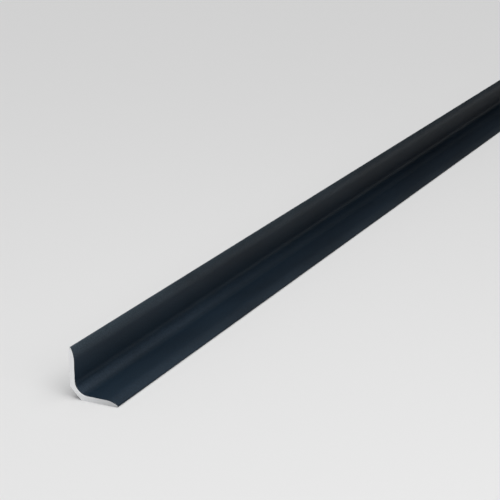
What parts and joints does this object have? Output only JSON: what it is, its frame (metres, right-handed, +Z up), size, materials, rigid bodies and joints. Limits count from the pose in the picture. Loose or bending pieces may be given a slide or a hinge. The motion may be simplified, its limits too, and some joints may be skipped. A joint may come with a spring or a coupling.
{
  "type": "inside corner trim",
  "caption": "Extruded L-shaped strip for an inside corner: flat backs, a coved inner corner and legs that taper to thin rounded edges.",
  "frame": {"origin": "middle of the underside of the box around the strip, on the surface that it lies on", "axes": "+Y along the strip, +Z up along the standing leg's back, +X from the standing leg towards the free edge of the leg that lies down"},
  "size_m": [0.02, 1, 0.02],
  "materials": {
    "black_coat": "matte"
  },
  "bodies": {
    "root": {"corner_trim": "black_coat"}
  },
  "joints": []
}
